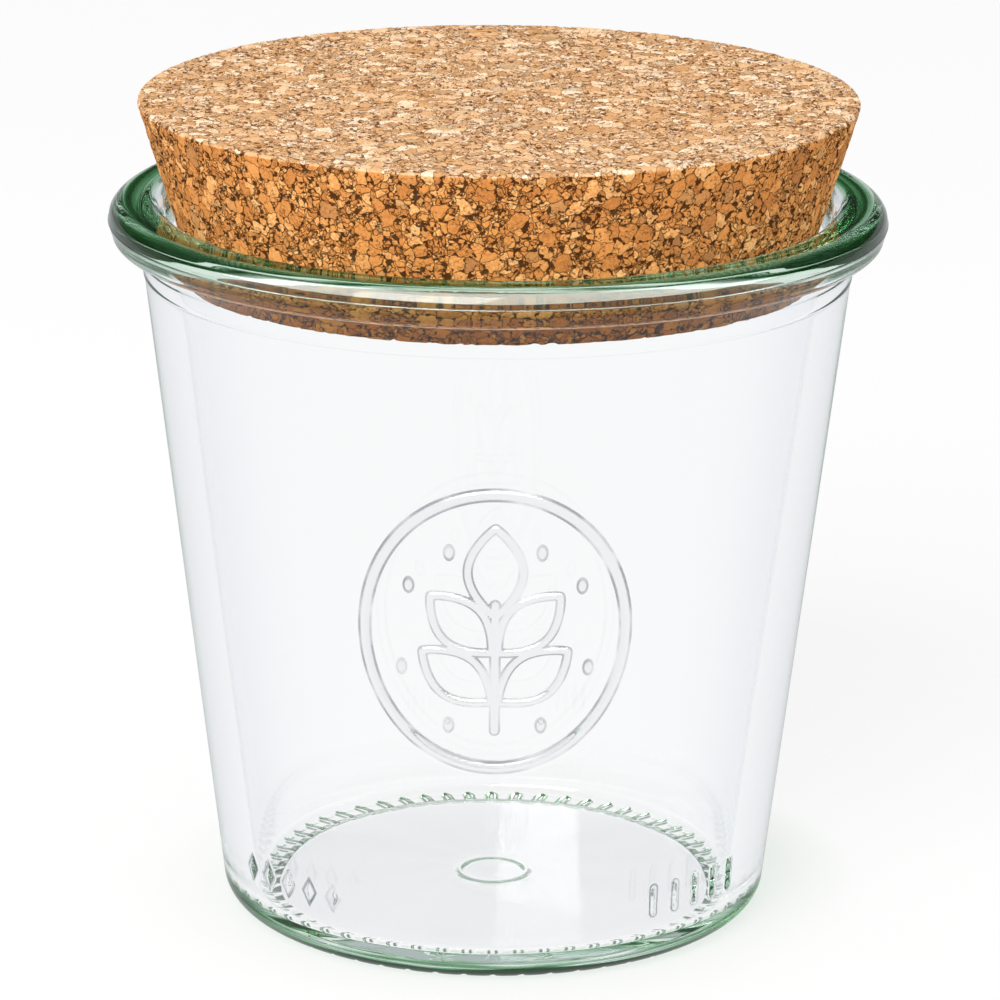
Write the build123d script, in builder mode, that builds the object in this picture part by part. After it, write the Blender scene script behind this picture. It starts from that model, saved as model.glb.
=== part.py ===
"""A preserving tumbler of pressed glass with a tapered cork stopper.

Millimetres, +Z up. The origin is the centre of the base, on the plane that the jar stands on.
Every profile is a half section, drawn as radius against height and turned about Z.
"""

import os
from math import atan2, cos, radians, sin, tan

from build123d import *

os.makedirs("parts", exist_ok=True)

# Rim: a round bead outside, a flat land on top, a rounded way into the mouth
rim_top_height = 85.4
bead_height = 4.8
bead_overhang = 3.7
bead_rounding_share = 0.46
neck_fillet_share = 0.27
mouth_edge_rounding = 3.1

# Wall: a cone of even thickness that narrows towards the base
wall_top_radius = 41.6
wall_base_radius = 32.0
wall_thickness = 3.9

# Base: a rounded heel, a bearing ring, a push-up under the floor
heel_rounding = 3.4
ring_width = 1.6
ring_step_height = 0.8
ring_step_width = 1.3
ring_step_rounding = 0.35
push_up_height = 1.3
floor_edge_height = 2.6
floor_centre_height = 3.6
floor_corner_rounding = 1.5

# Knurls: V grooves cut across the bearing ring and out through the heel
knurl_count = 58
knurl_width = 1.5
knurl_depth = 0.7
knurl_overrun = 1.0

# Cork stopper: its cone is tangent to the rounded mouth edge, less the seat clearance
cork_stand_height = 11.9
cork_height = 20.1
cork_taper_angle = 17.0
cork_seat_clearance = 0.25
cork_top_rounding = 0.5
cork_bottom_rounding = 0.7


def corner(sketch, point):
    """The vertex of a section that lies nearest to a radius and a height."""
    return sketch.vertices().sort_by_distance(point)[0]


# Places worked out from the sizes above
bead_under_height = rim_top_height - bead_height
rim_outer_radius = wall_top_radius + bead_overhang
ring_inner_radius = wall_base_radius - heel_rounding - ring_width
wall_slope = atan2(wall_top_radius - wall_base_radius, bead_under_height)
wall_skew_thickness = wall_thickness / cos(wall_slope)


def wall_outer_radius(height):
    """Outer radius of the wall cone at a height."""
    return wall_base_radius + height * tan(wall_slope)


def wall_inner_radius(height):
    """Inner radius of the wall cone at a height."""
    return wall_outer_radius(height) - wall_skew_thickness


# Corners of the glass section, from the axis under the base round to the axis on the floor
under_centre = (0, push_up_height)
recess_edge = (ring_inner_radius - ring_step_width, ring_step_height)
ring_edge = (ring_inner_radius, 0)
heel_corner = (wall_outer_radius(0), 0)
neck_corner = (wall_outer_radius(bead_under_height), bead_under_height)
bead_under_corner = (rim_outer_radius, bead_under_height)
bead_top_corner = (rim_outer_radius, rim_top_height)
mouth_corner = (wall_inner_radius(rim_top_height), rim_top_height)
floor_corner = (wall_inner_radius(floor_edge_height), floor_edge_height)
floor_centre = (0, floor_centre_height)

roundings = (
    (recess_edge, ring_step_rounding),
    (ring_edge, ring_step_rounding),
    (heel_corner, heel_rounding),
    (neck_corner, bead_overhang * neck_fillet_share),
    (bead_under_corner, bead_height * bead_rounding_share),
    (bead_top_corner, bead_height * bead_rounding_share),
    (mouth_corner, mouth_edge_rounding),
    (floor_corner, floor_corner_rounding),
)


def dome_radius(centre, edge):
    """Radius of the shallow arc that is level at a centre point and passes through an edge point."""
    rise = centre[1] - edge[1]
    return (edge[0]**2 + rise**2) / (2 * rise)


# Glass jar
with BuildPart() as glass_jar:
    with BuildSketch(Plane.XZ) as jar_section:
        with BuildLine():
            RadiusArc(under_centre, recess_edge, dome_radius(under_centre, recess_edge))
            Polyline(
                recess_edge, ring_edge, heel_corner, neck_corner, bead_under_corner,
                bead_top_corner, mouth_corner, floor_corner,
            )
            RadiusArc(floor_centre, floor_corner, dome_radius(floor_centre, floor_corner))
            Line(floor_centre, under_centre)
        make_face()
        for place, radius in roundings:
            fillet(corner(jar_section, place), radius)
    revolve(axis=Axis.Z)

    # Knurls, turned half a pitch so that the ring is whole where it crosses the X axis
    groove_planes = [
        Plane(
            (0, 0, 0),
            x_dir=(-sin(turn), cos(turn), 0),
            z_dir=(cos(turn), sin(turn), 0),
        ).offset(ring_inner_radius - ring_step_width - knurl_overrun)
        for turn in (radians(360 * (index + 0.5) / knurl_count) for index in range(knurl_count))
    ]
    with BuildSketch(*groove_planes):
        Polygon(
            (-knurl_width / 2, 0), (knurl_width / 2, 0), (0, knurl_depth),
            align=None,
        )
    extrude(
        amount=wall_base_radius - ring_inner_radius + ring_step_width + 2 * knurl_overrun,
        mode=Mode.SUBTRACT,
    )

glass_jar.part.label = "glass_jar"
export_step(glass_jar.part, "parts/glass_jar.step")


# Cork seat: in the section, the cone's line keeps its distance from the centre of the mouth rounding
cork_slope = radians(cork_taper_angle)
cork_top_height = rim_top_height + cork_stand_height
cork_bottom_height = cork_top_height - cork_height
rounding_height = rim_top_height - mouth_edge_rounding
rounding_radius = wall_inner_radius(rounding_height) + mouth_edge_rounding / cos(wall_slope)
cork_line_offset = (
    rounding_radius * cos(cork_slope)
    - rounding_height * sin(cork_slope)
    - mouth_edge_rounding
    - cork_seat_clearance
)


def cork_radius(height):
    """Radius of the cork's cone at a height."""
    return (cork_line_offset + height * sin(cork_slope)) / cos(cork_slope)


cork_top_corner = (cork_radius(cork_top_height), cork_top_height)
cork_bottom_corner = (cork_radius(cork_bottom_height), cork_bottom_height)

# Cork lid
with BuildPart() as cork_lid:
    with BuildSketch(Plane.XZ) as cork_section:
        with BuildLine():
            Polyline(
                (0, cork_bottom_height), cork_bottom_corner, cork_top_corner, (0, cork_top_height),
                close=True,
            )
        make_face()
        fillet(corner(cork_section, cork_top_corner), cork_top_rounding)
        fillet(corner(cork_section, cork_bottom_corner), cork_bottom_rounding)
    revolve(axis=Axis.Z)

cork_lid.part.label = "cork_lid"
export_step(cork_lid.part, "parts/cork_lid.step")
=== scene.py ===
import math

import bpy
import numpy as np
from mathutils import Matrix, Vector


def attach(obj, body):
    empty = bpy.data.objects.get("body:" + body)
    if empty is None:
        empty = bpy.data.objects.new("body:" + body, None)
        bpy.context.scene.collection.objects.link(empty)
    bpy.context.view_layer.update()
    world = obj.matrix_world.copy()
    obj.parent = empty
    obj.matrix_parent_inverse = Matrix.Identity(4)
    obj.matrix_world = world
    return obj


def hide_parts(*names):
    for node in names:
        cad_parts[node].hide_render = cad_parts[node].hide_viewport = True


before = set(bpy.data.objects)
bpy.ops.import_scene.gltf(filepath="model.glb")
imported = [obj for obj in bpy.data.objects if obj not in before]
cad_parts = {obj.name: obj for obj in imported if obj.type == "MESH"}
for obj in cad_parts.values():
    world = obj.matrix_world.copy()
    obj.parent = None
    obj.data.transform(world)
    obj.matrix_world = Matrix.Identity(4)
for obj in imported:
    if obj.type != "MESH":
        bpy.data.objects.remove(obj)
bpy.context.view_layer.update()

# %% [markdown]
# A preserving tumbler and its cork
# ---------------------------------
# The imported CAD part gives two pieces in their true places: the glass jar and the cork stopper.
# Here each of them gets the surface that the real one has. The glass is remodelled with its fine
# moulded detail, because clear glass shows every ripple, and the cork is remodelled with its
# granules. Nothing changes size.

MM = 0.001

# %% [markdown]
# The camera
# ----------
# The photograph looks slightly down at the jar through a long lens, so the two ellipses of the
# rim and the base are almost alike. The place of the camera was worked out from those outlines. A
# camera looks along its own -Z, so its rotation is the matrix whose columns are right, up and
# back.

# %% Camera
CAMERA_PLACE = Vector((0.0, -0.591, 0.2229))
CAMERA_PITCH = 0.28698
CAMERA_YAW = 0.00078
CAMERA_ROLL = 0.00774
CAMERA_LENS = 187.8
FILM_WIDTH = 36


def aim(yaw, pitch, roll):
    """Rotation that looks along +Y, turned right by yaw, down by pitch, and then rolled."""
    sin_yaw, cos_yaw = math.sin(yaw), math.cos(yaw)
    sin_pitch, cos_pitch = math.sin(pitch), math.cos(pitch)
    forward = Vector((sin_yaw * cos_pitch, cos_yaw * cos_pitch, -sin_pitch))
    up = Vector((sin_yaw * sin_pitch, cos_yaw * sin_pitch, cos_pitch))
    right = forward.cross(up)
    return Matrix((right, up, -forward)).transposed() @ Matrix.Rotation(roll, 3, "Z")


camera_data = bpy.data.cameras.new("photo_camera")
camera_data.sensor_width = FILM_WIDTH
camera_data.lens = CAMERA_LENS
camera_data.clip_end = 20
camera = bpy.data.objects.new("photo_camera", camera_data)
bpy.context.scene.collection.objects.link(camera)
turned = aim(CAMERA_YAW, CAMERA_PITCH, CAMERA_ROLL)
camera.matrix_world = Matrix.Translation(CAMERA_PLACE) @ turned.to_4x4()
bpy.context.scene.camera = camera
print("camera", round(CAMERA_PLACE.length, 3), "m from the origin, lens", CAMERA_LENS, "mm")

# %% [markdown]
# Profiles
# --------
# Both pieces are turned shapes, so both start as a profile: a row of (radius, height) points in
# millimetres, with the sizes of the CAD part. They could be lathed from curves, but a row of
# points is easier to move about later. A corner of a profile can carry a rounding, which is swept
# by an arc.

# %% Profiles with rounded corners
def rounded_profile(corners):
    """Joins (radius, height, rounding, points) corners by straight runs.

    A corner of angle a between its two runs, with rounding r, is cut back by r / tan(a / 2) along
    both, and an arc of radius r about the centre on its bisector joins the two cut ends.
    """
    runs = []
    befores, afters = [None] + corners[:-1], corners[1:] + [None]
    for before, (x, y, rounding, count), after in zip(befores, corners, afters):
        if not rounding:
            runs.append(np.array([[x, y]], float))
            continue
        point = np.array([x, y])
        u = np.array(before[:2]) - point
        v = np.array(after[:2]) - point
        u, v = u / np.linalg.norm(u), v / np.linalg.norm(v)
        half = math.acos(np.clip(u @ v, -1, 1)) / 2
        bisector = (u + v) / np.linalg.norm(u + v)
        centre = point + bisector * rounding / math.sin(half)
        start = point + u * rounding / math.tan(half) - centre
        end = point + v * rounding / math.tan(half) - centre
        swing = math.atan2(start[0] * end[1] - start[1] * end[0], start @ end)
        turn = math.atan2(start[1], start[0]) + np.linspace(0, swing, count)
        runs.append(centre + rounding * np.column_stack([np.cos(turn), np.sin(turn)]))
    return np.vstack(runs)


def plain(points):
    """Corners without a rounding, one profile point each."""
    return [(x, y, 0, 1) for x, y in points]


# %% [markdown]
# Skins
# -----
# A skin is a function of two parameters: the place along the profile, and the angle round the
# axis. On a grid of both it gives all points at once. Fine detail that sits in one spot, such as
# a raised motif, needs a finer grid there only. So a patch of the grid can be divided further:
# its cells are replaced by a finer grid, and the cells round it simply get the extra points on
# the edge that they share, which keeps the skin closed.

# %% Grid with finer patches
def edge_runs(line, parts):
    """Point numbers along a divided edge, as one run for each coarse cell, both ends included."""
    return np.lib.stride_tricks.sliding_window_view(line, parts + 1)[::parts]


def grid_quads(number):
    """Quads of a grid of point numbers: a point, its right neighbour, and the two above them."""
    corners = [number[:-1, :-1], number[:-1, 1:], number[1:, 1:], number[1:, :-1]]
    return np.stack(corners, axis=-1).reshape(-1, 4)


def turned_skin(name, skin, rows, angles, patches=()):
    """Closed mesh of a skin: a grid of rows and angles, with a fan of triangles at each pole.

    A finer patch is (first row, last row, first column, last column, parts of a row, parts of a
    column).
    """
    inner_rows = np.arange(1, rows - 1)
    points = [skin(*np.meshgrid(inner_rows, angles, indexing="ij")).reshape(-1, 3)]
    number = np.arange(points[0].shape[0]).reshape(len(inner_rows), len(angles))
    looped = np.hstack([number, number[:, :1]])
    plain_cell = np.ones((len(inner_rows) - 1, len(angles)), bool)
    faces = []
    total = number.size
    for low, high, left, right, row_parts, column_parts in patches:
        a, b, c, d = low - 1, high - 1, left, right
        fine_rows = np.linspace(low, high, (high - low) * row_parts + 1)
        fine_angles = np.interp(np.linspace(left, right, (right - left) * column_parts + 1),
                                np.arange(len(angles)), angles)
        points.append(skin(*np.meshgrid(fine_rows, fine_angles, indexing="ij")).reshape(-1, 3))
        fine = total + np.arange(len(fine_rows) * len(fine_angles)).reshape(len(fine_rows), -1)
        total += fine.size
        for edge in (0, -1):
            fine[::row_parts, edge] = number[a:b + 1, (c, d)[edge]]
            fine[edge, ::column_parts] = number[(a, b)[edge], c:d + 1]
        faces += grid_quads(fine).tolist()
        faces += np.column_stack([number[a - 1, c:d], number[a - 1, c + 1:d + 1],
                                  edge_runs(fine[0], column_parts)[:, ::-1]]).tolist()
        faces += np.column_stack([edge_runs(fine[-1], column_parts), number[b + 1, c + 1:d + 1],
                                  number[b + 1, c:d]]).tolist()
        faces += np.column_stack([number[a:b, c - 1], edge_runs(fine[:, 0], row_parts),
                                  number[a + 1:b + 1, c - 1]]).tolist()
        faces += np.column_stack([number[a:b, d + 1], number[a + 1:b + 1, d + 1],
                                  edge_runs(fine[:, -1], row_parts)[:, ::-1]]).tolist()
        plain_cell[a - 1:b + 1, c:d] = False
        plain_cell[a:b, c - 1:d + 1] = False
    faces += grid_quads(looped)[plain_cell.ravel()].tolist()
    points.append(skin(np.array([0.0, rows - 1.0]), np.zeros(2)))
    first_pole, last_pole = np.full(len(angles), total), np.full(len(angles), total + 1)
    faces += np.column_stack([first_pole, looped[0, 1:], looped[0, :-1]]).tolist()
    faces += np.column_stack([last_pole, looped[-1, :-1], looped[-1, 1:]]).tolist()
    return mesh_of(name, np.vstack(points) * MM, faces)


def mesh_of(name, points, faces):
    """Mesh of the points that the faces use, with smooth faces."""
    sizes = np.array([len(face) for face in faces])
    used, corners = np.unique(np.concatenate(faces), return_inverse=True)
    faces = [part.tolist() for part in np.split(corners, np.cumsum(sizes)[:-1])]
    mesh = bpy.data.meshes.new(name)
    mesh.from_pydata(points[used].tolist(), [], faces)
    mesh.polygons.foreach_set("use_smooth", np.ones(len(faces), bool))
    mesh.update()
    return mesh


# %% [markdown]
# A finished skin becomes a piece of the part. It rides on the body that carries it, so the cork
# goes up with the lid, and it stands for one node of the CAD part.

# %% Put a piece in its place
def put(mesh, body, node):
    """Makes an object of a mesh that rides on a body and stands for a CAD node."""
    piece = bpy.data.objects.new(mesh.name, mesh)
    bpy.context.scene.collection.objects.link(piece)
    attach(piece, body)
    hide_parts(node)
    mesh.calc_loop_triangles()
    triangles = len(mesh.loop_triangles)
    print(piece.name, "has", len(mesh.vertices), "points and", triangles, "triangles")
    return piece


# %% [markdown]
# The glass
# ---------
# A pressed jar is one closed skin: up the outside, over the rim, down the inside, across the
# floor, and back under the base. The profile below is that of the CAD part. What the mould leaves
# on it is too fine for the CAD part and is added here: the seam round the rim bead, the line of
# the neck ring, a raised motif on the front, small marks by the heel, a ring under the base, and
# the faint ripples that make glass look like glass.

# %% Sizes of the glass
RIM_TOP = 85.4
BEAD_HEIGHT = 4.8
BEAD_RADIUS = 45.28
BEAD_LEAN = 0.7
BEAD_ROUNDING = 0.46 * BEAD_HEIGHT
BEAD_UNDER_ROUNDING = 1.3
NECK_ROUNDING = 1.0
BEAD_UNDER = RIM_TOP - BEAD_HEIGHT
BEAD_MIDDLE = RIM_TOP - BEAD_HEIGHT / 2
MOUTH_ROUNDING = 3.1
WALL_BASE = 32.0
WALL_TOP = 41.6
WALL_SLOPE = (WALL_TOP - WALL_BASE) / BEAD_UNDER
WALL_THICKNESS = 3.9 / math.cos(math.atan(WALL_SLOPE))
HEEL_ROUNDING = 3.4
RING_INNER = 27.0
RING_STEP = 1.3
STEP_HEIGHT = 0.8
STEP_ROUNDING = 0.35
PUSH_UP = 1.3
FLOOR_EDGE = 2.6
FLOOR_CENTRE = 3.6
FLOOR_ROUNDING = 1.5
KNURLS = 58
KNURL_DEPTH = 0.7
KNURL_WIDTH = 1.5


def outer_wall(height):
    """Outside radius of the wall: a cone."""
    return WALL_BASE + WALL_SLOPE * height


def inner_wall(height):
    """Inside radius of the wall: the same cone, one skew thickness smaller."""
    return outer_wall(height) - WALL_THICKNESS


def dome(radius, centre, edge_radius, edge):
    """Height of a shallow dome: it changes from centre to edge with the square of the radius."""
    return centre + (edge - centre) * (radius / edge_radius) ** 2


print("the wall leans by", round(math.degrees(math.atan(WALL_SLOPE)), 2), "degrees")

# %% [markdown]
# The profile needs more rows where something fine will stand: round the small ring under the
# base, at the marks, at the motif, at the neck line and at the seam of the bead. Elsewhere a few
# rows are enough.

# %% Profile of the glass
MOTIF_LOW, MOTIF_HIGH = 25.5, 62.5
MARKS_LOW, MARKS_HIGH = 5.0, 13.0
NECK_LINE = 76.8
under_radii = np.array([0, 1.5, 3, 3.5, 3.75, 4, 4.25, 4.5, 5, 7, 10, 14, 18, 22, 24.6])
under_heights = dome(under_radii, PUSH_UP, RING_INNER - RING_STEP, STEP_HEIGHT)
floor_edge_radius = inner_wall(FLOOR_EDGE)
floor_radii = np.array([26, 24, 21, 18, 15, 12, 9, 6, 3, 0])
floor_heights = dome(floor_radii, FLOOR_CENTRE, floor_edge_radius, FLOOR_EDGE)
marks_rows = np.linspace(MARKS_LOW, MARKS_HIGH, 4)
motif_rows = np.linspace(MOTIF_LOW, MOTIF_HIGH, 13)
neck_rows = NECK_LINE + np.array([-3, -0.6, -0.25, -0.12, 0, 0.12, 0.25, 0.6])
outside_rows = np.concatenate([marks_rows, [16.5, 20.2], motif_rows, [66, 70], neck_rows])
inside_rows = np.array([80, 76, 71, 65, 58, 51, 44, 37, 30, 23, 17, 12, 8, 5.5])
bead_rows = BEAD_MIDDLE + np.array([-0.12, -0.06, 0, 0.06, 0.12])

profile = rounded_profile(
    plain(zip(under_radii, under_heights))
    + [
        (RING_INNER - RING_STEP, STEP_HEIGHT, STEP_ROUNDING, 4),
        (RING_INNER, 0, STEP_ROUNDING, 4),
        (WALL_BASE, 0, HEEL_ROUNDING, 16),
    ]
    + plain(zip(outer_wall(outside_rows), outside_rows))
    + [
        (outer_wall(BEAD_UNDER), BEAD_UNDER, NECK_ROUNDING, 6),
        (BEAD_RADIUS - BEAD_LEAN, BEAD_UNDER, BEAD_UNDER_ROUNDING, 12),
    ]
    + plain((BEAD_RADIUS, row) for row in bead_rows)
    + [
        (BEAD_RADIUS, RIM_TOP, BEAD_ROUNDING, 17),
        (inner_wall(RIM_TOP), RIM_TOP, MOUTH_ROUNDING, 16),
    ]
    + plain(zip(inner_wall(inside_rows), inside_rows))
    + [(floor_edge_radius, FLOOR_EDGE, FLOOR_ROUNDING, 7)]
    + plain(zip(floor_radii, floor_heights))
)
rows = np.arange(len(profile))
along = np.concatenate([[0], np.cumsum(np.hypot(*np.diff(profile, axis=0).T))])
tangent = np.gradient(profile, axis=0)
tangent /= np.linalg.norm(tangent, axis=1)[:, None]
outside_end = int(np.argmax(profile[:, 1] > RIM_TOP - 0.001))
print("profile of the glass has", len(profile), "points and is", round(along[-1], 1), "mm long")

# %% [markdown]
# The raised motif is drawn flat, as lines in millimetres across and up, and then stands on the
# wall as a rounded ridge: the height of the glass at a point depends only on how far the point is
# from the nearest line. The front of the jar faces -Y, so the way across is the angle past -90
# degrees, times the radius. The motif is a plain one, a sprig with five leaves and some seeds
# inside an oval ring.

# %% Lines of the motif
MOTIF_MIDDLE = 44.0
LEAF_LINE = 1.25
LEAF_PAIRS = ((-8.4, 0.92, 9.8), (-2.4, 0.80, 9.6))
SEEDS = ((5.2, 9.6), (9.8, 5.4), (10.6, -4.6), (5.2, -11.4))
SAMPLES = np.linspace(0, 1, 160)


def oval(wide, tall):
    """Closed oval round the middle: wide cos across, tall sin up."""
    turn = np.linspace(0, 2 * math.pi, 4 * len(SAMPLES))
    return np.column_stack([wide * np.cos(turn), tall * np.sin(turn)])


def leaf(root, lean, length, width):
    """Pointed leaf outline: two sine bows either side of a line that leans from the vertical."""
    side = width / 2 * np.sin(math.pi * SAMPLES) ** 0.85
    go = np.column_stack([side, length * SAMPLES])
    back = np.column_stack([-side, length * SAMPLES])
    flat = np.vstack([go, back[::-1]])
    spin = np.array([[math.cos(lean), -math.sin(lean)], [math.sin(lean), math.cos(lean)]])
    return flat @ spin + np.array(root)


def stalk(start, end):
    """Straight line between two points."""
    return np.array(start) + SAMPLES[:, None] * (np.array(end) - np.array(start))


motif_lines = [
    (oval(15.0, 16.6), 1.80),
    (stalk((0, -12.0), (0, 3.4)), 1.40),
    (leaf((0, 2.0), 0, 10.6, 6.2), LEAF_LINE),
]
motif_lines += [(leaf((side * 0.4, up), side * lean, length, 5.4), LEAF_LINE)
                for up, lean, length in LEAF_PAIRS for side in (-1, 1)]
motif_seeds = [(side * across, up) for side in (-1, 1) for across, up in SEEDS]
print("the motif has", len(motif_lines), "lines and", len(motif_seeds), "seeds")

# %% Height of the raised marks
RELIEF = 0.36
NO_MARK = 2.0
MOTIF_HALF_WIDE, MOTIF_HALF_TALL = 16.2, 17.8
MARK_COUNT = 5
MARK_START, MARK_HEIGHT = 19.6, 8.6
LOZENGE_PITCH, LOZENGE_WIDE, LOZENGE_TALL = 3.5, 1.3, 2.2
TICK_PITCH, TICK_RADIUS, TICK_HALF_LENGTH = 3.2, 0.65, 1.6
SEED_WIDE, SEED_TALL = 0.75, 1.15


def marks_reach(across, up):
    """How far a point of the wall is from the nearest mark's middle, as a share of its half width.

    A line of the motif counts by the distance to its nearest sample, and a seed is an ellipse. By
    the heel, a row of lozenges, |x| / wide + |y| / tall, lies left of the front, and a row of
    upright ticks right of it.
    """
    reach = np.full(across.shape, NO_MARK)
    off_middle = up - MOTIF_MIDDLE
    near = (np.abs(across) < MOTIF_HALF_WIDE) & (np.abs(off_middle) < MOTIF_HALF_TALL)
    x, y = across[near], off_middle[near]
    best = np.full(x.shape, NO_MARK)
    for line, width in motif_lines:
        distance = np.min(np.hypot(x[:, None] - line[:, 0], y[:, None] - line[:, 1]), axis=1)
        best = np.minimum(best, distance / (width / 2))
    for seed_x, seed_y in motif_seeds:
        best = np.minimum(best, np.hypot((x - seed_x) / SEED_WIDE, (y - seed_y) / SEED_TALL))
    reach[near] = best
    off_middle = np.abs(up - MARK_HEIGHT)
    for number in range(MARK_COUNT):
        from_lozenge = np.abs(across + MARK_START + LOZENGE_PITCH * number)
        lozenge = from_lozenge / LOZENGE_WIDE + off_middle / LOZENGE_TALL
        from_tick = across - MARK_START - TICK_PITCH * number
        tick = np.hypot(from_tick, np.maximum(off_middle - TICK_HALF_LENGTH, 0)) / TICK_RADIUS
        reach = np.minimum(reach, np.minimum(lozenge, tick))
    return reach


def marks_relief(across, up):
    """Height of the marks: a ridge that falls from its middle to its edge as a cosine squared."""
    return RELIEF * np.cos(np.clip(marks_reach(across, up), 0, 1) * math.pi / 2) ** 2


# %% [markdown]
# Real glass is never quite smooth. The bead shows fine streaks that run round it and a thin seam
# where the mould closed, the neck carries a faint line, and the inside of the wall has long, soft
# waves, because it cooled in the air. All of them are sums of sines and bell curves, at most a
# tenth of a millimetre high. Only the small ring under the base stands higher.

# %% Ripples and seams
NECK_LINE_RELIEF, NECK_LINE_WIDTH = 0.10, 0.16
BASE_RING_RADIUS, BASE_RING_RELIEF, BASE_RING_WIDTH = 4.0, 0.22, 0.35
BEAD_FADE, BEAD_SINK, STREAK_DEPTH = 0.6, 0.080, 0.016
SEAM_WIDTH, SEAM_REACH = 0.08, 1.28
RIPPLE_DEPTH, RIPPLE_FADE = 0.03, 20
KNURL_REACH = 2.3


def bump(distance, width):
    """Bell curve of height 1: exp of minus the square of distance over width."""
    return np.exp(-(distance / width) ** 2)


def glass_skin(row, turn):
    """Point of the glass at a place along the profile and an angle.

    The turned profile is moved along its own normal by the sum of the reliefs: marks and seams
    stand out from the wall, ripples sink into it. The knurls are V grooves cut upwards into the
    ring: inside a groove the height is at least depth times one minus the distance from its middle
    over half its width.
    """
    radius, height, travel = (np.interp(row, rows, values) for values in (*profile.T, along))
    normal_x, normal_y = np.interp(row, rows, tangent[:, 1]), -np.interp(row, rows, tangent[:, 0])
    outside = row < outside_end
    across = (turn + math.pi / 2) * radius
    on_wall = outside & (height > HEEL_ROUNDING + 0.6)
    raised = np.where(on_wall, marks_relief(across, height), 0)
    raised += np.where(on_wall, NECK_LINE_RELIEF * bump(height - NECK_LINE, NECK_LINE_WIDTH), 0)
    base_ring = BASE_RING_RELIEF * bump(radius - BASE_RING_RADIUS, BASE_RING_WIDTH)
    raised += np.where(outside & (height < 2), base_ring, 0)
    on_bead = np.clip((height - BEAD_UNDER - BEAD_FADE) / BEAD_FADE, 0, 1)
    on_bead = on_bead * (radius > inner_wall(RIM_TOP) - 1)
    streaks = (np.sin(6.1 * travel + 2.0 * np.sin(3 * turn + 0.4))
               + np.sin(3.7 * travel + 1.7 * np.sin(5 * turn))) / 2
    seam = bump(height - BEAD_MIDDLE, SEAM_WIDTH) * (radius > BEAD_RADIUS - SEAM_REACH)
    raised -= on_bead * (BEAD_SINK + STREAK_DEPTH * streaks) * (1 - seam)
    wave = np.sin(7 * turn + 0.05 * height) + np.sin(11 * turn + 1.3 + 0.03 * height)
    ripples = RIPPLE_DEPTH * (1 + wave / 2) * np.clip(radius / RIPPLE_FADE, 0, 1)
    raised -= np.where(outside, 0, ripples)
    radius = radius + normal_x * raised
    height = height + normal_y * raised
    pitch = 2 * math.pi / KNURLS
    off_groove = np.abs((turn / pitch) % 1 - 0.5) * pitch * radius
    groove = KNURL_DEPTH * np.clip(1 - off_groove / (KNURL_WIDTH / 2), 0, 1)
    cut = outside & (radius > RING_INNER - KNURL_REACH) & (height < KNURL_DEPTH)
    height = np.where(cut, np.maximum(height, groove), height)
    return np.stack([radius * np.cos(turn), radius * np.sin(turn), height], axis=-1)


# %% [markdown]
# The grid has eight columns to each knurl. So every groove falls on the same places of the grid,
# and all of them come out alike and sharp. The motif and the two rows of marks get finer patches,
# because their ridges are narrower than a column.

# %% Turn the glass
COLUMNS = KNURLS * 8
MOTIF_COLUMNS = 33
MARKS_COLUMNS = (40, 82)
MOTIF_PARTS, MARKS_PARTS = (12, 2), (11, 2)
UNDER_BASE = 30
angles = np.arange(COLUMNS) * (2 * math.pi / COLUMNS) - math.pi
front = COLUMNS // 4


def row_at(height):
    """Row of the outside wall at a height. The rows under the base don't count."""
    radii, heights = profile[:outside_end].T
    return int(np.argmin(np.where(radii < UNDER_BASE, np.inf, np.abs(heights - height))))


motif_span = (row_at(MOTIF_LOW), row_at(MOTIF_HIGH))
marks_span = (row_at(MARKS_LOW), row_at(MARKS_HIGH))
patches = (
    (*motif_span, front - MOTIF_COLUMNS, front + MOTIF_COLUMNS, *MOTIF_PARTS),
    (*marks_span, front - MARKS_COLUMNS[1], front - MARKS_COLUMNS[0], *MARKS_PARTS),
    (*marks_span, front + MARKS_COLUMNS[0], front + MARKS_COLUMNS[1], *MARKS_PARTS),
)
glass_mesh = turned_skin("jar_glass", glass_skin, len(profile), angles, patches)
glass = put(glass_mesh, "jar", "glass_jar")

# %% [markdown]
# The ridges of the marks are only a third of a millimetre high, and clear glass hides them in even
# light. On the real jar their steep flanks bend the view so far that they look like thin grey
# outlines. So each point of the glass also remembers how far it is from the nearest mark, and the
# material paints those outlines from it as shade.

# %% Outlines of the marks
places = np.empty(len(glass_mesh.vertices) * 3, np.float32)
glass_mesh.vertices.foreach_get("co", places)
x, y, up = places.reshape(-1, 3).T / MM
across = (np.arctan2(y, x) + math.pi / 2) * np.hypot(x, y)
on_outside = np.hypot(x, y) > outer_wall(up) - 1
on_front = on_outside & (up > 4) & (up < 64) & (np.abs(across) < 36)
reach_values = np.full(len(up), NO_MARK, np.float32)
reach_values[on_front] = marks_reach(across[on_front], up[on_front])
outline = glass_mesh.attributes.new("mark_reach", "FLOAT", "POINT")
outline.data.foreach_set("value", reach_values)
print("points on a mark:", int((reach_values < 1).sum()))

# %% [markdown]
# The cork
# --------
# The stopper is pressed from cork granules of one to three millimetres and then turned and
# sanded, so it is a crisp cone with small pits where granules broke away. The plain cone comes
# from its profile. The pits are sunk by a geometry node tree that reads the same cells as the
# cork's material, so dark gaps in the colour are real hollows too. A sunk point moves inwards, so
# the cork never grows out of its CAD size.

# %% Skin of the cork
CORK_TOP = 97.3
CORK_BOTTOM = 77.2
CORK_TOP_RADIUS = 41.904
CORK_TAPER = math.tan(math.radians(17))
CORK_BOTTOM_ROUNDING, CORK_TOP_ROUNDING = 0.7, 0.5
CORK_COLUMNS = 576


def cork_cone(height):
    """Radius of the cork's cone at a height."""
    return CORK_TOP_RADIUS - (CORK_TOP - height) * CORK_TAPER


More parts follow.
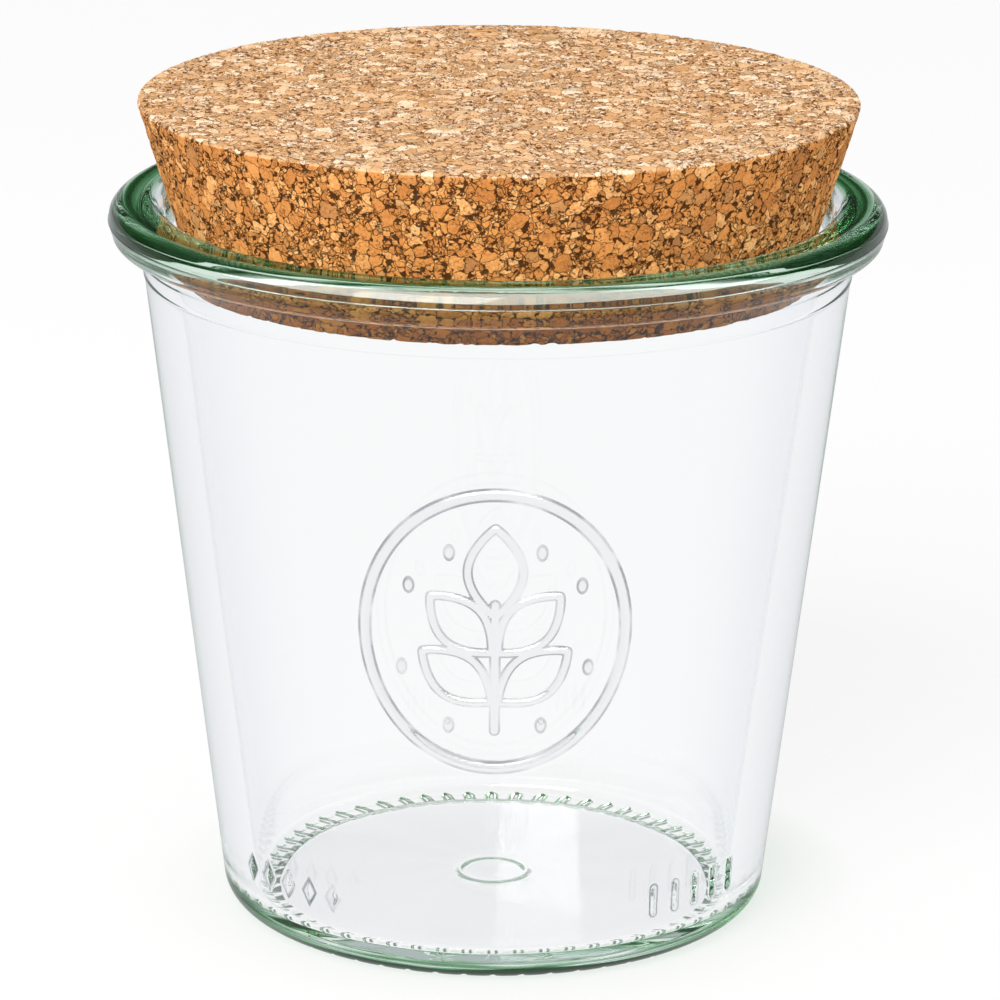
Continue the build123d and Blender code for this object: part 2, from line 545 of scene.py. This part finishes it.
bottom_radii = np.linspace(0, cork_cone(CORK_BOTTOM) - 1.4, 40)
side_heights = np.linspace(CORK_BOTTOM + 1.1, CORK_TOP - 0.8, 48)
top_radii = np.linspace(CORK_TOP_RADIUS - 1.0, 0, 62)
cork_profile = rounded_profile(
    plain((radius, CORK_BOTTOM) for radius in bottom_radii)
    + [(cork_cone(CORK_BOTTOM), CORK_BOTTOM, CORK_BOTTOM_ROUNDING, 5)]
    + plain(zip(cork_cone(side_heights), side_heights))
    + [(CORK_TOP_RADIUS, CORK_TOP, CORK_TOP_ROUNDING, 5)]
    + plain((radius, CORK_TOP) for radius in top_radii)
)
cork_rows = np.arange(len(cork_profile))


def cork_skin(row, turn):
    """Point of the cork at a place along the profile and an angle."""
    radius, height = (np.interp(row, cork_rows, values) for values in cork_profile.T)
    return np.stack([radius * np.cos(turn), radius * np.sin(turn), height], axis=-1)


cork_angles = np.arange(CORK_COLUMNS) * (2 * math.pi / CORK_COLUMNS)
cork_mesh = turned_skin("cork", cork_skin, len(cork_profile), cork_angles)
cork = put(cork_mesh, "lid", "cork_lid")

# %% [markdown]
# Node helpers
# ------------
# A node tree in code is a long list of new nodes and links. A few helpers keep it readable: each
# makes one node or a few, fills their inputs with numbers or with links, and gives back the
# output that the next one needs.

# %% Nodes for numbers and places
def fill(tree, slot, value):
    """Puts a number, a tuple or a link from an output socket into an input socket."""
    if isinstance(value, (int, float)):
        slot.default_value = value
    elif isinstance(value, tuple):
        slot.default_value = value if len(slot.default_value) == len(value) else (*value, 1)
    else:
        tree.links.new(value, slot)


def join(tree, source, output, target, name):
    """Links an output socket to an input socket by their names."""
    tree.links.new(source.outputs[output], target.inputs[name])


def math_node(tree, operation, first, second=0, clamp=False):
    """Math node on two values."""
    node = tree.nodes.new("ShaderNodeMath")
    node.operation = operation
    node.use_clamp = clamp
    fill(tree, node.inputs[0], first)
    fill(tree, node.inputs[1], second)
    return node.outputs[0]


def product(tree, first, *others):
    """All the values multiplied."""
    for other in others:
        first = math_node(tree, "MULTIPLY", first, other)
    return first


def vector_node(tree, operation, first, second):
    """Vector math node: for SCALE, the second value is a number, else it is a vector."""
    node = tree.nodes.new("ShaderNodeVectorMath")
    node.operation = operation
    fill(tree, node.inputs[0], first)
    fill(tree, node.inputs["Scale" if operation == "SCALE" else 1], second)
    return node.outputs[0]


def parts_of(tree, vector):
    """The three parts of a vector."""
    node = tree.nodes.new("ShaderNodeSeparateXYZ")
    tree.links.new(vector, node.inputs[0])
    return list(node.outputs)


def in_millimetres(tree, place):
    """A place given in metres as millimetres: the vector, and its three parts."""
    metric = vector_node(tree, "SCALE", place, 1 / MM)
    return metric, *parts_of(tree, metric)


def range_node(tree, value, low, high, to_low=0.0, to_high=1.0):
    """Carries a value from one range to another along a smooth step."""
    node = tree.nodes.new("ShaderNodeMapRange")
    node.interpolation_type = "SMOOTHSTEP"
    tree.links.new(value, node.inputs["Value"])
    names = ("From Min", "From Max", "To Min", "To Max")
    for name, number in zip(names, (low, high, to_low, to_high)):
        node.inputs[name].default_value = number
    return node.outputs["Result"]


def band(tree, value, rise_low, rise_high, fall_low, fall_high):
    """1 between two edges and 0 outside them, with a smooth rise and a smooth fall."""
    return product(tree, range_node(tree, value, rise_low, rise_high),
                   range_node(tree, value, fall_high, fall_low))


# %% Nodes for patterns, colours and layers
def noise_node(tree, place, scale, detail, output="Fac"):
    """Noise of so many lumps per millimetre."""
    node = tree.nodes.new("ShaderNodeTexNoise")
    node.inputs["Scale"].default_value = scale
    node.inputs["Detail"].default_value = detail
    tree.links.new(place, node.inputs["Vector"])
    return node.outputs[output]


def cell_nodes(tree, place, size):
    """Voronoi cells of a size in millimetres: random colour, and distance to the nearest wall."""
    colour = tree.nodes.new("ShaderNodeTexVoronoi")
    wall = tree.nodes.new("ShaderNodeTexVoronoi")
    wall.feature = "DISTANCE_TO_EDGE"
    for node in (colour, wall):
        node.inputs["Scale"].default_value = 1 / size
        tree.links.new(place, node.inputs["Vector"])
    return colour.outputs["Color"], product(tree, wall.outputs["Distance"], size)


def ramp_node(tree, value, *stops):
    """Colour ramp from (place, (red, green, blue)) stops."""
    node = tree.nodes.new("ShaderNodeValToRGB")
    elements = node.color_ramp.elements
    while len(elements) < len(stops):
        elements.new(0.5)
    for element, (where, colour) in zip(elements, stops):
        element.position = where
        element.color = (*colour, 1)
    tree.links.new(value, node.inputs["Fac"])
    return node.outputs["Color"]


def mix_node(tree, factor, first, second, blend="MIX"):
    """Mixes two colours, each an output socket or (red, green, blue)."""
    node = tree.nodes.new("ShaderNodeMix")
    node.data_type = "RGBA"
    node.blend_type = blend
    for slot, value in ((0, factor), (6, first), (7, second)):
        fill(tree, node.inputs[slot], value)
    return node.outputs[2]


def light_node(tree, kind, colour, strength=1.0):
    """Emission or Background shader of a colour."""
    node = tree.nodes.new("ShaderNode" + kind)
    fill(tree, node.inputs["Color"], colour)
    node.inputs["Strength"].default_value = strength
    return node.outputs[0]


def layered(tree, shader, *layers):
    """Lays (share, shader) layers over a shader, one after the other."""
    for share, layer in layers:
        node = tree.nodes.new("ShaderNodeMixShader")
        for slot, value in enumerate((share, shader, layer)):
            tree.links.new(value, node.inputs[slot])
        shader = node.outputs[0]
    return shader


def new_material(name):
    """A material, its node tree and its Principled shader."""
    material = bpy.data.materials.new(name)
    material.use_nodes = True
    return material, material.node_tree, material.node_tree.nodes["Principled BSDF"]


# %% [markdown]
# The look of the glass
# ---------------------
# Glass is seen by what it bends, so the material is a plain Principled glass. Soda glass of this
# kind is clear across a thin wall and green along it: light that is caught inside the rim or the
# heel runs a long way through it. A path tracer finds those long ways too, and tells how often the
# light has turned. So one number, the depth of green, is added up from three things: that count,
# the places where the glass is thick, and painted shade on the land of the rim and on the heel.
# The colour follows the law of tinted glass: each step of depth takes the same share away, more
# from red and blue than from green.

# %% Glass shader
glass_material, tree, shader = new_material("green_tinged_glass")
shader.inputs["Transmission Weight"].default_value = 1
shader.inputs["Roughness"].default_value = 0
shader.inputs["IOR"].default_value = 1.52
absorption = tree.nodes.new("ShaderNodeVolumeAbsorption")
absorption.inputs["Color"].default_value = (0.0, 0.66, 0.25, 1)
absorption.inputs["Density"].default_value = 1.6
path = tree.nodes.new("ShaderNodeLightPath")
geometry = tree.nodes.new("ShaderNodeNewGeometry")
edge = tree.nodes.new("ShaderNodeLayerWeight")
edge.inputs["Blend"].default_value = 0.5
facing = edge.outputs["Facing"]
from_outside = math_node(tree, "SUBTRACT", 1.0, geometry.outputs["Backfacing"])
coordinates = tree.nodes.new("ShaderNodeTexCoord")
place, x, y, z = in_millimetres(tree, coordinates.outputs["Object"])
radius = math_node(tree, "SQRT", math_node(tree, "ADD", product(tree, x, x), product(tree, y, y)))
print("the shader of the glass has", len(tree.nodes), "nodes")

# %% [markdown]
# The green of the rim isn't even: it lies in streaks that run round the bead, as the glass was
# drawn. The flat land on top of the rim gets painted shade, a near black green, for the dark that
# it shows. The heel is green all over. Painted shade darkens it most at its foot and where it
# turns away from the viewer. The masks below are given by heights and radii, with soft edges: the
# first number is where a mask starts, and the second where it is full.

# %% Masks of the thick places and of painted shade
LAND_HEIGHTS, LAND_RADII = (83.6, 84.3), (39.8, 40.8, 42.9, 43.7)
BEAD_HEIGHTS, BEAD_RADII = (81.2, 83.4), (40.2, 41.0)
HEEL_HEIGHTS, HEEL_RADII = (4.6, 2.8), (28.5, 30.0)
FOOT_HEIGHTS = (3.1, 0.4)
CAUGHT_TURNS = (8, 34)
SIDE_TURN = (0.40, 0.90)
RIM_LUMPS, RIM_LIMITS, LAND_LEAST = (0.9, 0.9, 0.028), (0.36, 0.66), 0.20
HEEL_LUMPS, HEEL_LIMITS, FOOT_LIMITS = (0.045, 0.045, 0.9), (0.50, 0.70), (1.00, 1.22)

turns = range_node(tree, path.outputs["Ray Depth"], *CAUGHT_TURNS)
round_rim = tree.nodes.new("ShaderNodeCombineXYZ")
for source, lumps, slot in zip((radius, z, x), RIM_LUMPS, round_rim.inputs):
    tree.links.new(product(tree, source, lumps), slot)
rim_streaks = range_node(tree, noise_node(tree, round_rim.outputs[0], 1, 3), *RIM_LIMITS)
# Painted shade: a near black green band on the land of the rim, for the dark surroundings that it
# shows, laid over the glass's own green.
rim_land_shade = product(tree, range_node(tree, z, *LAND_HEIGHTS), band(tree, radius, *LAND_RADII),
                   from_outside, math_node(tree, "ADD", rim_streaks, LAND_LEAST))
bead = product(tree, range_node(tree, z, *BEAD_HEIGHTS), range_node(tree, radius, *BEAD_RADII))
bead_streaks = product(tree, bead, math_node(tree, "POWER", rim_streaks, 3))

on_heel = product(tree, range_node(tree, radius, *HEEL_RADII), from_outside)
heel = product(tree, range_node(tree, z, *HEEL_HEIGHTS), on_heel)
level = tree.nodes.new("ShaderNodeMapping")
level.inputs["Scale"].default_value = HEEL_LUMPS
tree.links.new(place, level.inputs["Vector"])
streaks = noise_node(tree, level.outputs[0], 1, 3)
low_end = math_node(tree, "ADD", streaks, range_node(tree, z, *FOOT_HEIGHTS))
# Painted shade: the heel's foot and the side that turns away are darkened towards black green,
# over the glass's own green.
heel_foot_shade = product(tree, range_node(tree, low_end, *FOOT_LIMITS), on_heel)
heel_side_shade = product(tree, heel, range_node(tree, facing, *SIDE_TURN))
heel_streaks = product(tree, heel, range_node(tree, streaks, *HEEL_LIMITS))

# %% Depth of green
PASSED_PER_DEPTH = 0.03
TINT_POWERS = (("Red", 3.3), ("Green", 1.75), ("Blue", 3.0))
DEPTH_SHARES = ((turns, 0.85), (rim_land_shade, 0.60), (bead, 0.05), (bead_streaks, 0.10),
                (heel, 0.02), (heel_foot_shade, 0.78), (heel_side_shade, 0.42), (heel_streaks, 0.26))
depth = 0.0
for mask, share in DEPTH_SHARES:
    depth = math_node(tree, "ADD", depth, product(tree, mask, share))
passed = math_node(tree, "POWER", PASSED_PER_DEPTH, depth)
green = tree.nodes.new("ShaderNodeCombineColor")
for name, power in TINT_POWERS:
    tree.links.new(math_node(tree, "POWER", passed, power), green.inputs[name])
print("with the depth of green it has", len(tree.nodes), "nodes")

# %% [markdown]
# In a white studio the edge of a glass wall and the flanks of its relief would vanish, while the
# real ones are drawn in soft grey by the dark parts of a room. Painted shade stands for that: a
# light grey at grazing angles, a grey body on the marks, a thin dark outline by their edges that
# noise breaks up, and dark flanks in the knurls. A knurl's flank is found by its normal: only
# there does it lean sideways, so its cross product with the radius isn't zero.

# %% Painted shade on edges, marks and knurls
WALL_HEIGHTS, WALL_TURN, EDGE_TURN = (3.5, 6.0), (0.10, 0.90), (0.80, 1.00)
KNURL_HEIGHTS, KNURL_LEAN = (6.0, 4.5), (0.34, 0.60)
MARK_BODY, OUTLINE_BAND = (1.0, 0.5), (0.46, 0.70, 0.86, 1.00)
OUTLINE_LUMPS, OUTLINE_LIMITS = 0.16, (0.25, 0.62)
CLEAR, WALL_SHADE, EDGE_SHADE = (1.0, 1.0, 1.0), (0.86, 0.875, 0.915), (0.50, 0.60, 0.56)
MARK_SHADE, OUTLINE_SHADE = (0.84, 0.855, 0.87), (0.18, 0.20, 0.21)
KNURL_SHADE = (0.04, 0.08, 0.055)

mark = tree.nodes.new("ShaderNodeAttribute")
mark.attribute_name = "mark_reach"
mark_reach = mark.outputs["Fac"]
# Painted shade: the dark outline of the marks, broken up by noise.
broken_outline = range_node(tree, noise_node(tree, place, OUTLINE_LUMPS, 2), *OUTLINE_LIMITS)
outline_mask = product(tree, band(tree, mark_reach, *OUTLINE_BAND), broken_outline)
normal_x, normal_y = parts_of(tree, geometry.outputs["Normal"])[:2]
sideways = math_node(tree, "SUBTRACT", product(tree, normal_x, y), product(tree, normal_y, x))
sideways = math_node(tree, "DIVIDE", math_node(tree, "ABSOLUTE", sideways), radius)
knurls = product(tree, range_node(tree, sideways, *KNURL_LEAN),
                 range_node(tree, z, *KNURL_HEIGHTS))
turned_away = product(tree, range_node(tree, facing, *WALL_TURN),
                      range_node(tree, z, *WALL_HEIGHTS))
# Painted shade: grey at grazing angles, on the marks and their outlines, and dark in the flanks of
# the knurls.
tint = CLEAR
for mask, colour in ((turned_away, WALL_SHADE), (range_node(tree, facing, *EDGE_TURN), EDGE_SHADE),
                     (range_node(tree, mark_reach, *MARK_BODY), MARK_SHADE),
                     (outline_mask, OUTLINE_SHADE), (knurls, KNURL_SHADE)):
    tint = mix_node(tree, mask, tint, colour)
fill(tree, shader.inputs["Base Color"], mix_node(tree, 1.0, tint, green.outputs[0], "MULTIPLY"))

# %% [markdown]
# Light on its way to or from a matt surface, such as the cork or the floor, would need very many
# samples to find its way through bent glass. It passes almost straight through instead, which
# keeps the shadow pale.

# %% Light that passes to and from matt surfaces
PALE_SHADOW = (0.90, 0.93, 0.91)
clear = tree.nodes.new("ShaderNodeBsdfTransparent")
fill(tree, clear.inputs["Color"], PALE_SHADOW)
to_matt, from_matt = path.outputs["Is Shadow Ray"], path.outputs["Is Diffuse Ray"]
matt_way = math_node(tree, "MAXIMUM", to_matt, from_matt)
glass_surface = layered(tree, shader.outputs[0], (matt_way, clear.outputs[0]))
output = tree.nodes["Material Output"]
fill(tree, output.inputs["Surface"], glass_surface)
join(tree, absorption, "Volume", output, "Volume")
glass.data.materials.append(glass_material)
print("the material of the glass has", len(tree.nodes), "nodes")

# %% [markdown]
# The look of the cork
# --------------------
# Pressed cork is a patchwork: each granule has its own tone, thin dark lines run between
# granules, and the lines widen here and there into pits. Voronoi cells give the patchwork. Their
# coordinates are bent by noise first, which turns straight cell walls into torn ones. Every
# second granule or so is a clump of small crumbs, so a second, finer set of cells takes its
# place. The same nodes serve the geometry and the material.

# %% Cork granules, for the geometry and for the material
BIG_GRANULE, SMALL_GRANULE = 1.75, 0.85
BEND_LUMPS, BEND_REACH = 1.1, 0.9
CRUMB_LIMIT = 0.45
SANDED_HEIGHTS = (CORK_TOP - 0.45, CORK_TOP - 0.30)
NARROW_GAP, WIDE_GAP, GAP_EDGE = 0.070, 0.30, 0.06
GAP_LUMPS, GAP_LIMITS, SANDED_SHARE = 1.5, (0.52, 0.72), 0.85


def granule_nodes(tree, place):
    """Granules: millimetre coordinates, height, two random tints, and how far a point is a gap."""
    metric, *_, z = in_millimetres(tree, place)
    lumps = noise_node(tree, metric, BEND_LUMPS, 1, "Color")
    bend = vector_node(tree, "SUBTRACT", lumps, (0.5, 0.5, 0.5))
    bent = vector_node(tree, "ADD", metric, vector_node(tree, "SCALE", bend, BEND_REACH))
    big_colour, big_wall = cell_nodes(tree, bent, BIG_GRANULE)
    small_colour, small_wall = cell_nodes(tree, bent, SMALL_GRANULE)
    big, small = parts_of(tree, big_colour), parts_of(tree, small_colour)
    crumbs = math_node(tree, "GREATER_THAN", big[2], CRUMB_LIMIT)
    keep = math_node(tree, "SUBTRACT", 1.0, crumbs)

    def choose(of_big, of_small):
        """The value of the big granule, or of the small one where it is a clump of crumbs."""
        return math_node(tree, "ADD", product(tree, of_big, keep), product(tree, of_small, crumbs))

    wall = math_node(tree, "MINIMUM", big_wall, choose(big_wall, small_wall))
    width = range_node(tree, noise_node(tree, metric, GAP_LUMPS, 1), *GAP_LIMITS,
                       NARROW_GAP, WIDE_GAP)
    width = product(tree, width, range_node(tree, z, *SANDED_HEIGHTS, 1.0, SANDED_SHARE))
    gap = math_node(tree, "DIVIDE", math_node(tree, "SUBTRACT", width, wall), GAP_EDGE, clamp=True)
    return metric, z, choose(big[0], small[0]), choose(big[1], small[1]), gap


# %% Sink the pits of the cork
PIT_DEPTH, WORN = 0.24, 0.30
pits = bpy.data.node_groups.new("cork_pits", "GeometryNodeTree")
for way in ("INPUT", "OUTPUT"):
    pits.interface.new_socket("Geometry", in_out=way, socket_type="NodeSocketGeometry")
enter, leave = pits.nodes.new("NodeGroupInput"), pits.nodes.new("NodeGroupOutput")
sink = pits.nodes.new("GeometryNodeSetPosition")
here = pits.nodes.new("GeometryNodeInputPosition")
outwards = pits.nodes.new("GeometryNodeInputNormal")
*_, tint, _, gap = granule_nodes(pits, here.outputs["Position"])
worn = range_node(pits, tint, 0.0, 1.0, WORN, 0.0)
sunk = product(pits, math_node(pits, "MAXIMUM", gap, worn), -PIT_DEPTH * MM)
fill(pits, sink.inputs["Offset"], vector_node(pits, "SCALE", outwards.outputs[0], sunk))
join(pits, enter, "Geometry", sink, "Geometry")
join(pits, sink, "Geometry", leave, "Geometry")
cork.modifiers.new("pits", "NODES").node_group = pits
print("the pits take", len(pits.nodes), "nodes and are up to", PIT_DEPTH, "mm deep")

# %% [markdown]
# The top of the cork is sanded and looks pale, and the cone keeps the darker, reddish skin of
# turned cork. The part inside the mouth is darker still: that is painted shade, for the little
# light that reaches it there. On top of the granules come a few greyish ones, thin broken threads
# and small round pores. The threads lie where a noise crosses its middle value, and the pores are
# the middles of cells.

# %% Colours of the cork
SIDE_COLOURS = (
    (0.00, (0.480, 0.178, 0.046)), (0.30, (0.600, 0.238, 0.062)), (0.62, (0.690, 0.286, 0.078)),
    (0.88, (0.760, 0.350, 0.110)), (1.00, (0.830, 0.460, 0.185)))
TOP_COLOURS = (
    (0.00, (0.600, 0.305, 0.125)), (0.30, (0.740, 0.420, 0.200)), (0.62, (0.830, 0.520, 0.285)),
    (0.86, (0.910, 0.640, 0.410)), (1.00, (0.970, 0.780, 0.580)))
SIDE_GAP, TOP_GAP = (0.024, 0.007, 0.002), (0.120, 0.036, 0.008)
GREYISH, GREYISH_LIMITS, GREYISH_SHARE = (0.26, 0.150, 0.075), (0.86, 0.97), 0.40
# Painted shade: the part of the cork inside the mouth is darkened, for the little light that
# reaches it there.
MOUTH_SHADE, MOUTH_SHADE_HEIGHTS = (0.44, 0.33, 0.12), (84.0, 81.0)
GRAIN_LUMPS, GRAIN_DETAIL, GRAIN_SHARE = 3.2, 5, 1.5
THREAD_LUMPS, THREAD_EDGES, THREAD_PLACES = 1.25, (0.006, 0.026), (0.44, 0.54)
PORE_LUMPS, PORE_EDGES, PORE_PLACES = 1.4, (0.10, 0.24), (0.50, 0.60)
PLACE_LUMPS = 0.9
BUMP_DEPTH = 0.22
print("cork colours:", len(SIDE_COLOURS), "on the side and", len(TOP_COLOURS), "on the top")

# %% Cork material
cork_material, tree, shader = new_material("pressed_cork")
shader.inputs["Specular IOR Level"].default_value = 0.05
coordinates = tree.nodes.new("ShaderNodeTexCoord")
metric, height, tint, hue, gap = granule_nodes(tree, coordinates.outputs["Object"])
sanded = range_node(tree, height, *SANDED_HEIGHTS)
mouth_shade = range_node(tree, height, *MOUTH_SHADE_HEIGHTS)
grain = noise_node(tree, metric, GRAIN_LUMPS, GRAIN_DETAIL)
off_mean = math_node(tree, "SUBTRACT", grain, 0.5)
shade = math_node(tree, "ADD", tint, product(tree, off_mean, GRAIN_SHARE))
skin_colour = mix_node(tree, sanded, ramp_node(tree, shade, *SIDE_COLOURS),
                       ramp_node(tree, shade, *TOP_COLOURS))
greyish = range_node(tree, hue, *GREYISH_LIMITS, 0.0, GREYISH_SHARE)
skin_colour = mix_node(tree, greyish, skin_colour, GREYISH)

wander = math_node(tree, "SUBTRACT", noise_node(tree, metric, THREAD_LUMPS, 2), 0.5)
threads = product(tree,
                  range_node(tree, math_node(tree, "ABSOLUTE", wander), *THREAD_EDGES, 1.0, 0.0),
                  range_node(tree, noise_node(tree, metric, PLACE_LUMPS, 1), *THREAD_PLACES))
pore = tree.nodes.new("ShaderNodeTexVoronoi")
pore.inputs["Scale"].default_value = PORE_LUMPS
tree.links.new(metric, pore.inputs["Vector"])
pores = product(tree, range_node(tree, pore.outputs["Distance"], *PORE_EDGES, 1.0, 0.0),
                range_node(tree, noise_node(tree, metric, PLACE_LUMPS, 0), *PORE_PLACES))
thin = math_node(tree, "MAXIMUM", product(tree, threads, 0.70), product(tree, pores, 0.75))
dark = math_node(tree, "MAXIMUM", gap, thin)
gap_colour = mix_node(tree, sanded, SIDE_GAP, TOP_GAP)
skin_colour = mix_node(tree, product(tree, dark, 0.92), skin_colour, gap_colour)
# Painted shade darkens the cork inside the mouth.
skin_colour = mix_node(tree, mouth_shade, skin_colour, MOUTH_SHADE, "MULTIPLY")
fill(tree, shader.inputs["Base Color"], skin_colour)
fill(tree, shader.inputs["Roughness"], range_node(tree, grain, 0.3, 0.7, 0.78, 0.95))
lift = tree.nodes.new("ShaderNodeBump")
lift.inputs["Strength"].default_value = 0.5
lift.inputs["Distance"].default_value = BUMP_DEPTH * MM
fill(tree, lift.inputs["Height"], math_node(tree, "SUBTRACT", product(tree, grain, 0.35), dark))
join(tree, lift, "Normal", shader, "Normal")
cork.data.materials.append(cork_material)
print("the cork's material has", len(tree.nodes), "nodes")

# %% [markdown]
# The studio
# ----------
# The photograph has a plain white background, and only a faint shadow lies round the foot of the
# jar. A matt white floor under a white sky would do that, but it comes out grey where the sky is
# hidden. So most of what the camera sees of the floor is a plain white glow. The glow fades close
# to the jar, as light does where something stands in its way, and the matt part takes the real
# shadow. Seen through the glass the floor is white, and mirrored in it the floor is grey, darker
# in front, which gives the heel its form.

# %% Floor
FLOOR_HALF = 3.0
FLOOR_WHITE = (0.92, 0.92, 0.92)
GLOW, GLOW_SHARE = (1.0, 1.0, 1.0), 0.68
THROUGH_GLASS = (0.99, 0.99, 1.0)
MIRROR_FRONT, MIRROR_BACK, MIRROR_SHARE = (0.09, 0.09, 0.095), (0.55, 0.555, 0.57), 0.92
MIRROR_DISTANCES = (-0.13, -0.02)
SHADOW_REACH, SHADOW_POWER = 14 * MM, 4.0

floor_mesh = bpy.data.meshes.new("floor")
signs = ((-1, -1), (1, -1), (1, 1), (-1, 1))
floor_corners = [(x_sign * FLOOR_HALF, y_sign * FLOOR_HALF, 0) for x_sign, y_sign in signs]
floor_mesh.from_pydata(floor_corners, [], [(0, 1, 2, 3)])
floor = bpy.data.objects.new("floor", floor_mesh)
bpy.context.scene.collection.objects.link(floor)
floor_material, tree, shader = new_material("white_floor")
fill(tree, shader.inputs["Base Color"], FLOOR_WHITE)
shader.inputs["Roughness"].default_value = 1
shader.inputs["Specular IOR Level"].default_value = 0


def mirror_ray(path):
    """1 for a ray that a surface has mirrored, 0 for any other."""
    return product(path.id_data, path.outputs["Is Glossy Ray"], path.outputs["Is Reflection Ray"])


path = tree.nodes.new("ShaderNodeLightPath")
near_jar = tree.nodes.new("ShaderNodeAmbientOcclusion")
near_jar.inputs["Distance"].default_value = SHADOW_REACH
lit = math_node(tree, "POWER", near_jar.outputs["AO"], SHADOW_POWER)
coordinates = tree.nodes.new("ShaderNodeTexCoord")
floor_y = parts_of(tree, coordinates.outputs["Object"])[1]
towards_back = range_node(tree, floor_y, *MIRROR_DISTANCES)
mirror_floor = mix_node(tree, towards_back, MIRROR_FRONT, MIRROR_BACK)
glow = product(tree, path.outputs["Is Camera Ray"], lit, GLOW_SHARE)
floor_surface = layered(
    tree, shader.outputs[0],
    (glow, light_node(tree, "Emission", GLOW)),
    (path.outputs["Is Transmission Ray"], light_node(tree, "Emission", THROUGH_GLASS)),
    (product(tree, mirror_ray(path), MIRROR_SHARE), light_node(tree, "Emission", mirror_floor)))
fill(tree, tree.nodes["Material Output"].inputs["Surface"], floor_surface)
floor.data.materials.append(floor_material)
print("the floor is", 2 * FLOOR_HALF, "m wide and its material has", len(tree.nodes), "nodes")

# %% [markdown]
# Clear glass in even white light has no edges. A photographer gives it some by letting it look at
# something darker, and here the sky does so. The camera sees a white sky and matt surfaces get
# plain white light. Bent light finds a grey belt at mid height, so the sides of the jar are drawn
# in soft grey. Mirrored light finds one large softbox overhead, which gives the rim its long pale
# streaks. In front and low down it finds next to nothing, so no haze lies over the wall. The
# colour ramps read how high a direction points: 0 is level, and 1 is straight up.

# %% Sky
PALE, GREY = (0.975, 0.98, 1.0), (0.50, 0.53, 0.56)
HAZE, DARK = (0.035, 0.035, 0.035), (0.004, 0.004, 0.004)
SOFTBOX, SOFTBOX_STRENGTH = (0.90, 1.0, 0.92), 11.0
FRONT_EDGE = (-0.12, 0.10)
WHITE, SOFT_STRENGTH = (1.0, 1.0, 1.0), 0.78

world = bpy.data.worlds.new("studio")
bpy.context.scene.world = world
world.use_nodes = True
tree = world.node_tree
direction = tree.nodes.new("ShaderNodeTexCoord")
sky_y, sky_z = parts_of(tree, direction.outputs["Generated"])[1:]
bent_sky = ramp_node(tree, sky_z, (0.0, PALE), (0.16, PALE), (0.30, GREY), (0.60, GREY),
                     (0.80, PALE))
low_sky = ((0.0, HAZE), (0.12, HAZE), (0.18, DARK))
open_sky = ramp_node(tree, sky_z, *low_sky, (1.0, DARK))
box_sky = ramp_node(tree, sky_z, *low_sky, (0.28, DARK), (0.33, SOFTBOX), (1.0, SOFTBOX))
over_front = range_node(tree, sky_y, *FRONT_EDGE, 1.0, 0.0)
mirror_sky = mix_node(tree, over_front, open_sky, box_sky)
path = tree.nodes.new("ShaderNodeLightPath")
sky = layered(
    tree, light_node(tree, "Background", bent_sky),
    (mirror_ray(path), light_node(tree, "Background", mirror_sky, SOFTBOX_STRENGTH)),
    (path.outputs["Is Diffuse Ray"], light_node(tree, "Background", WHITE, SOFT_STRENGTH)),
    (path.outputs["Is Camera Ray"], light_node(tree, "Background", WHITE)))
fill(tree, tree.nodes["World Output"].inputs["Surface"], sky)
print("the sky has", len(tree.nodes), "nodes")

# %% [markdown]
# One large lamp at the front left models the cork: it makes its left side a little brighter than
# its right. Light is caught inside the rim for a hundred turns and more. If the path tracer gave
# up earlier, black flecks would show there, so it may follow light for that long.

# %% Lamp
KEY_PLACE, KEY_TARGET = Vector((-0.40, -0.90, 0.85)), Vector((0, 0, 0.05))
KEY_SIZE, KEY_POWER = 0.8, 12
BOUNCES = 128

key_data = bpy.data.lights.new("key", "AREA")
key_data.size = KEY_SIZE
key_data.energy = KEY_POWER
key = bpy.data.objects.new("key", key_data)
bpy.context.scene.collection.objects.link(key)
key.location = KEY_PLACE
key.rotation_euler = (KEY_TARGET - KEY_PLACE).to_track_quat("-Z", "Y").to_euler()
scene = bpy.context.scene
scene.view_settings.view_transform = "Standard"
scene.cycles.max_bounces = BOUNCES
scene.cycles.transmission_bounces = BOUNCES
scene.cycles.glossy_bounces = BOUNCES
print("lamp of", KEY_POWER, "W, and light is followed for", BOUNCES, "turns")
